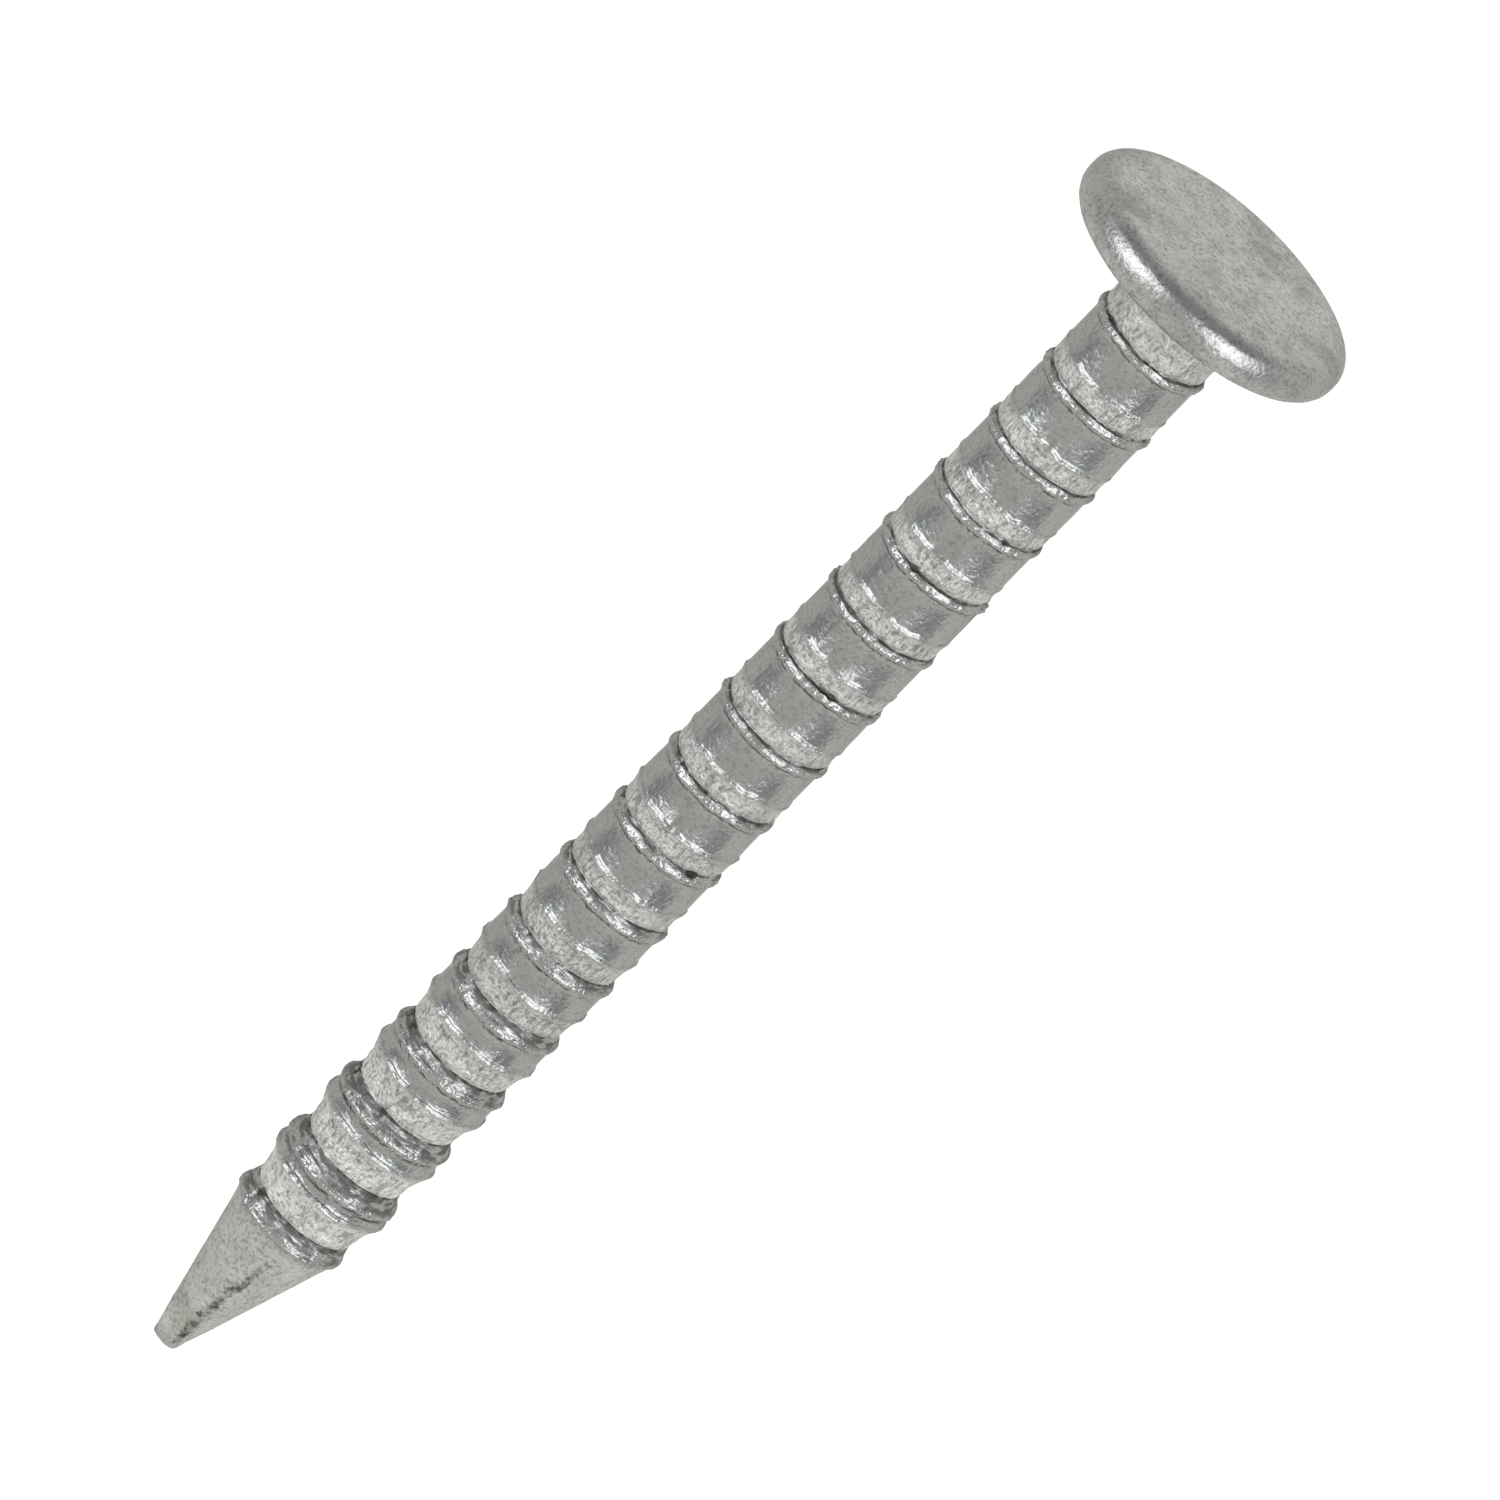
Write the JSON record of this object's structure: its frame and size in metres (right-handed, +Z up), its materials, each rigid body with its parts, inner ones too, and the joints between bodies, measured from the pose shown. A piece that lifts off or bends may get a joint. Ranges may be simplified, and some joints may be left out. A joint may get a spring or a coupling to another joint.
{
  "type": "ring-shank nail",
  "caption": "Short galvanised ring-shank nail with a flat round head, annular rolled rings and a four-sided point, made from one piece of wire.",
  "frame": {"origin": "on the nail's axis, level with the underside of the head, where the nail seats on the surface it is driven into", "axes": "+Z up the axis from the point to the head; +X and +Y each look squarely at one flat of the four-sided point"},
  "size_m": [0.0066, 0.0066, 0.0328],
  "materials": {
    "galvanised_steel": "hot-dip zinc coat: matt mottled grey in the grooves and on the head, half-gloss on the lands, bright on the lips"
  },
  "bodies": {
    "root": {"nail": "galvanised_steel"}
  },
  "joints": []
}
